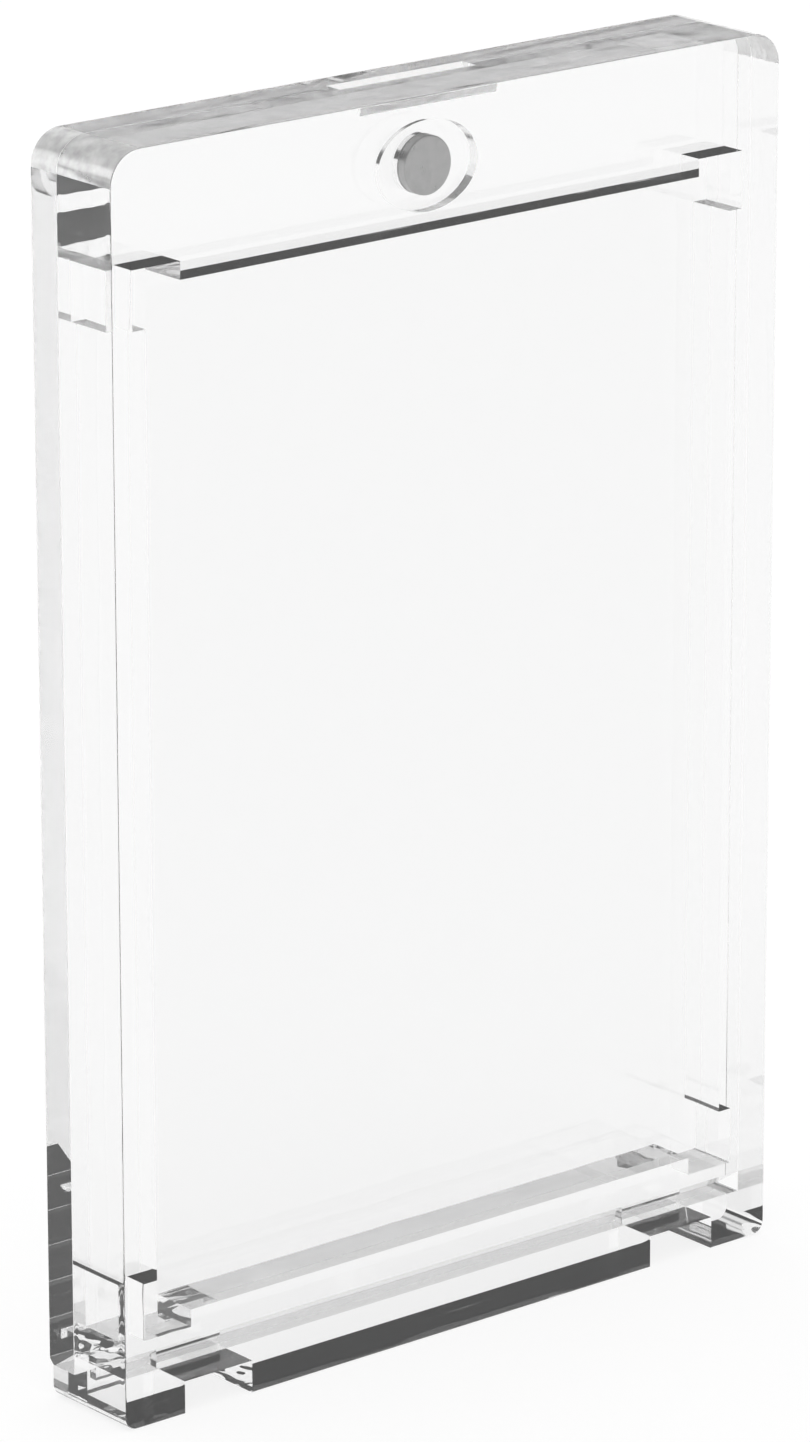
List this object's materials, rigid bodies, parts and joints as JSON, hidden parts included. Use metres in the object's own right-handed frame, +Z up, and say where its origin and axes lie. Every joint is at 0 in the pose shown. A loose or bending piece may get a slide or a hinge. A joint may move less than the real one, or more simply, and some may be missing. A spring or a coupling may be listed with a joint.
{
  "type": "trading card display case",
  "caption": "Clear two-part display case for one thick trading card, with a magnetic catch at the top and a rear half that tilts back on a slotted lip.",
  "frame": {"origin": "centre of the footprint, on the surface the case stands on", "axes": "+Z up along the height, -Y out of the window at the front, +Y towards the rear half, +X to the right seen from the front"},
  "size_m": [0.0736, 0.0108, 0.112],
  "materials": {
    "front_shell": "clear, polished",
    "rear_shell": "clear, polished",
    "magnet": "bright nickel plate"
  },
  "bodies": {
    "front_half": {"front_shell": "front_shell", "front_magnet": "magnet"},
    "rear_half": {"rear_shell": "rear_shell", "rear_magnet": "magnet"}
  },
  "joints": [
    {"name": "rear_half_tilt", "type": "hinge", "parent": "front_half", "child": "rear_half", "pos_m": [0, 0.00485, 0.00305], "axis": [-1, 0, 0], "range_deg": [0, 90]}
  ]
}
